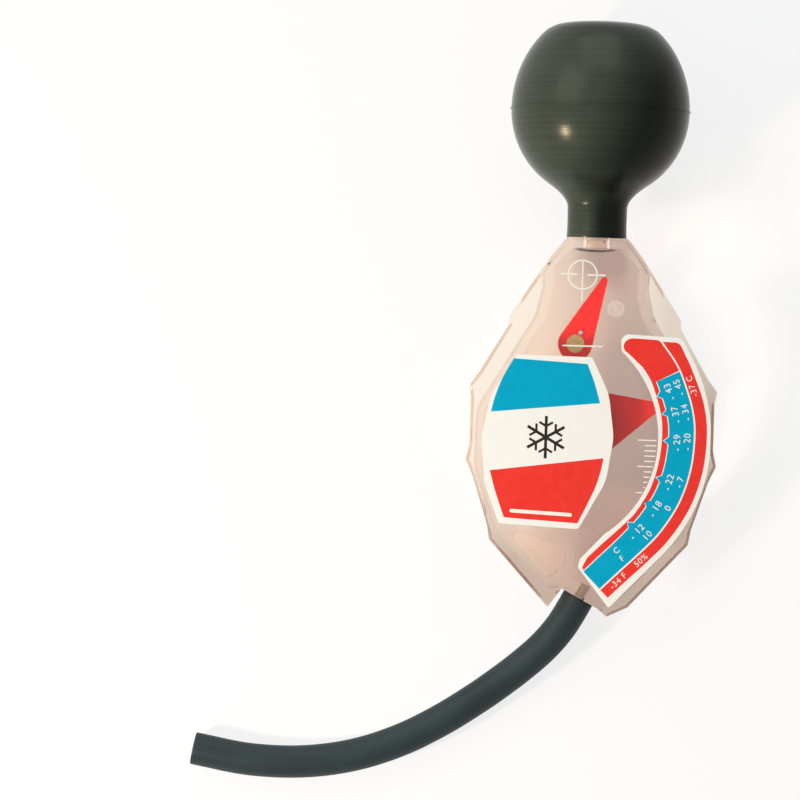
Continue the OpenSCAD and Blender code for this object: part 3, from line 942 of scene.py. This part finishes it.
def set_numbers(name, marks, ink):
    """Text marks as one mesh; each is (text, along, aside, size)."""
    made = []
    for text, along, aside, size in marks:
        bpy.ops.object.select_all(action="DESELECT")
        bpy.ops.object.text_add()
        obj = bpy.context.object
        obj.data.body = text
        obj.data.size = size * MM
        obj.data.align_x, obj.data.align_y = "CENTER", "CENTER"
        obj.data.space_character = letter_gap
        obj.data.extrude = ink_thick / 2 * MM
        bpy.ops.object.convert(target="MESH")
        obj = bpy.context.object
        place, reading = on_scale(along, aside)
        obj.matrix_world = tester_plane @ (
            Matrix.Translation((place.x * MM, place.y * MM, second_ink * MM))
            @ Matrix.Rotation(reading, 4, "Z"))
        bpy.ops.object.transform_apply()
        made.append(obj)
    bpy.ops.object.select_all(action="DESELECT")
    for obj in made:
        obj.select_set(True)
    bpy.context.view_layer.objects.active = made[0]
    bpy.ops.object.join()
    obj = bpy.context.object
    obj.name = name
    dress(obj, ink)
    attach(obj, "tester")


print("text helper ready")

# %% Set the numbers
celsius = zip(["43", "37", "29", "22", "18", "12"], [14.4, 22.1, 31.7, 44.8, 54.7, 64.3])
fahrenheit = zip(["45", "34", "20", "7", "0", "10"], [14.2, 22.0, 31.1, 43.8, 53.5, 64.0])
marks = [(t, s, -4.95, 2.8) for t, s in celsius] + [(t, s, -2.0, 2.7) for t, s in fahrenheit]
marks += [("-", s, -4.75, 2.8) for s in (17.7, 25.5, 34.8, 48.0, 57.9, 67.5)]
marks += [("-", s, -1.85, 2.7) for s in (17.3, 25.2, 34.3, 45.9)]
marks += [("C", 73.7, -5.0, 2.4), ("F", 74.1, -2.2, 2.4)]
marks += [("-34 F", 79.3, 1.9, 2.5), ("50%", 70.4, 1.9, 2.5), ("-37 C", 16.1, 1.8, 2.5)]
set_numbers("scale_numbers", marks, white_ink)
print("numbers:", len(marks))

# %% [markdown]
# ## Moulded marks on the cover
# White marks stand a little proud of the clear cover: a ring with a cross that the plumb
# pointer is read against, a level line, and a ladder of short lines beside the scale.

# %% Raise the ring, the cross and the level line
cover_top = 9.6
mark_high = 0.12
off_cover = 0.002
mark_at = cover_top + mark_high / 2 + off_cover
thick_mark, thin_mark, ladder_mark = 0.42, 0.38, 0.34
ring_r, ring_steps = 4.2, 64


def ring(centre, radius, width):
    """Two round outlines, which fill as a ring."""
    turn = [2 * math.pi * i / ring_steps for i in range(ring_steps)]
    return [[Vector(centre) + r * Vector((math.cos(t), math.sin(t))) for t in turn]
            for r in (radius + width / 2, radius - width / 2)]


cross = Vector((-4.15, 44.27))
left_runs = [((-6.2, 0.1), (-4.5, 0.1)), ((-3.9, 0.1), (-1.8, 0.1))]
right_runs = [((1.5, 0), (3.9, 0)), ((4.5, 0), (6.6, 0))]
upright_runs = [((0, 3.8), (0, -3.8)), ((0, -4.5), (0, -7.5))]
cross_bars = [bar(cross + Vector(a), cross + Vector(b), width)
              for runs, width in ((left_runs + right_runs, thick_mark), (upright_runs, thin_mark))
              for a, b in runs]
printed("cross_ring", ring(cross, ring_r, thick_mark), white_ink, mark_at, mark_high)
printed("cross_lines", cross_bars, white_ink, mark_at, mark_high)
printed("level_line", [bar((-9.2, 23.5), (2.2, 23.5), thick_mark)], white_ink, mark_at, mark_high)
print("cross of", len(cross_bars), "bars")

# %% Raise the ladder of lines
ladder_top, ladder_step, shortest = -3.4, 1.53, 0.3
long_start, short_start, furthest = 13.6, 15.6, 19.1
label_r, label_gap = 33.7, 0.4
ladder = []
for i in range(11):
    v = ladder_top - ladder_step * i
    label_edge = float_u + math.sqrt(label_r**2 - (v - float_v) ** 2)
    start = long_start if i % 5 == 0 else short_start
    end = max(min(furthest, label_edge) - label_gap, start + shortest)
    ladder.append(bar((start, v), (end, v), ladder_mark))
printed("ladder_lines", ladder, white_ink, mark_at, mark_high)
print("ladder of", len(ladder), "lines")
